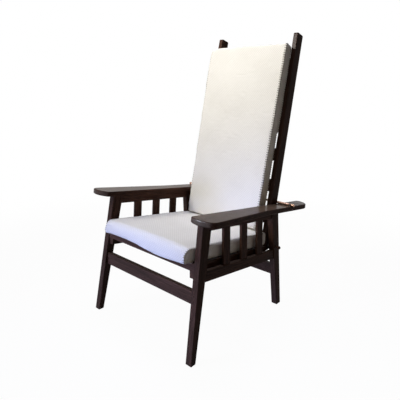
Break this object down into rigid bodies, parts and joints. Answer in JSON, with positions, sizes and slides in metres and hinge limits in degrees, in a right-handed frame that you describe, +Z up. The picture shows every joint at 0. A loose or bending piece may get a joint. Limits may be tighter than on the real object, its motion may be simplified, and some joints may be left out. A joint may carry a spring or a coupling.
{
  "type": "reclining armchair",
  "caption": "Tall-backed mission reclining armchair: slatted sides under broad flat arms, loose box cushions, and a ladder back that pivots low and leans on a rod lying in notches in the arms",
  "frame": {"origin": "On the floor, in the middle of the whole chair's footprint.", "axes": "+Z up, -Y the way the sitter faces, +X the sitter's left, across the chair."},
  "size_m": [0.7348, 0.8581, 1.313],
  "materials": {
    "dark_stained_wood": "satin dark brown stain and varnish",
    "cream_fabric": "fine plain weave over foam",
    "black_webbing": "woven webbing",
    "coppery_brass": "polished, slightly tarnished"
  },
  "bodies": {
    "frame": {"arm_left": "dark_stained_wood", "arm_right": "dark_stained_wood", "back_leg_left": "dark_stained_wood", "back_leg_right": "dark_stained_wood", "front_leg_left": "dark_stained_wood", "front_leg_right": "dark_stained_wood", "front_stretcher": "dark_stained_wood", "lower_side_rail_left": "dark_stained_wood", "lower_side_rail_right": "dark_stained_wood", "pivot_pin_left": "dark_stained_wood", "pivot_pin_right": "dark_stained_wood", "pivot_spacer_left": "dark_stained_wood", "pivot_spacer_right": "dark_stained_wood", "rear_rail": "dark_stained_wood", "seat_bearer_left": "dark_stained_wood", "seat_bearer_right": "dark_stained_wood", "seat_cushion": "cream_fabric", "seat_front_rail": "dark_stained_wood", "seat_rear_rail": "dark_stained_wood", "seat_side_rail_left": "dark_stained_wood", "seat_side_rail_right": "dark_stained_wood", "seat_strap_1": "black_webbing", "seat_strap_2": "black_webbing", "seat_strap_3": "black_webbing", "seat_strap_4": "black_webbing", "seat_strap_5": "black_webbing", "seat_strap_6": "black_webbing", "seat_strap_7": "black_webbing", "side_slat_left_1": "dark_stained_wood", "side_slat_left_2": "dark_stained_wood", "side_slat_left_3": "dark_stained_wood", "side_slat_right_1": "dark_stained_wood", "side_slat_right_2": "dark_stained_wood", "side_slat_right_3": "dark_stained_wood", "stretcher_peg_left_1": "dark_stained_wood", "stretcher_peg_left_2": "dark_stained_wood", "stretcher_peg_right_1": "dark_stained_wood", "stretcher_peg_right_2": "dark_stained_wood", "upper_side_rail_left": "dark_stained_wood", "upper_side_rail_right": "dark_stained_wood"},
    "back_frame": {"back_cushion": "cream_fabric", "back_slat_1": "dark_stained_wood", "back_slat_2": "dark_stained_wood", "back_slat_3": "dark_stained_wood", "back_slat_4": "dark_stained_wood", "back_slat_5": "dark_stained_wood", "back_slat_6": "dark_stained_wood", "back_stile_left": "dark_stained_wood", "back_stile_right": "dark_stained_wood"},
    "rod": {"recline_rod": "coppery_brass"}
  },
  "joints": [
    {"name": "back_recline", "type": "hinge", "parent": "frame", "child": "back_frame", "pos_m": [0, 0.1572, 0.28701], "axis": [-1, 0, 0], "range_deg": [0, 23.69]},
    {"name": "rod_slide", "type": "slide", "parent": "back_frame", "child": "rod", "axis": [0, 0.225, 0.9744], "range_m": [0, 0.046]}
  ],
  "couplings": [
    {"joint": "rod_slide", "follows": "back_recline", "m_per_rad": 0.11102}
  ]
}
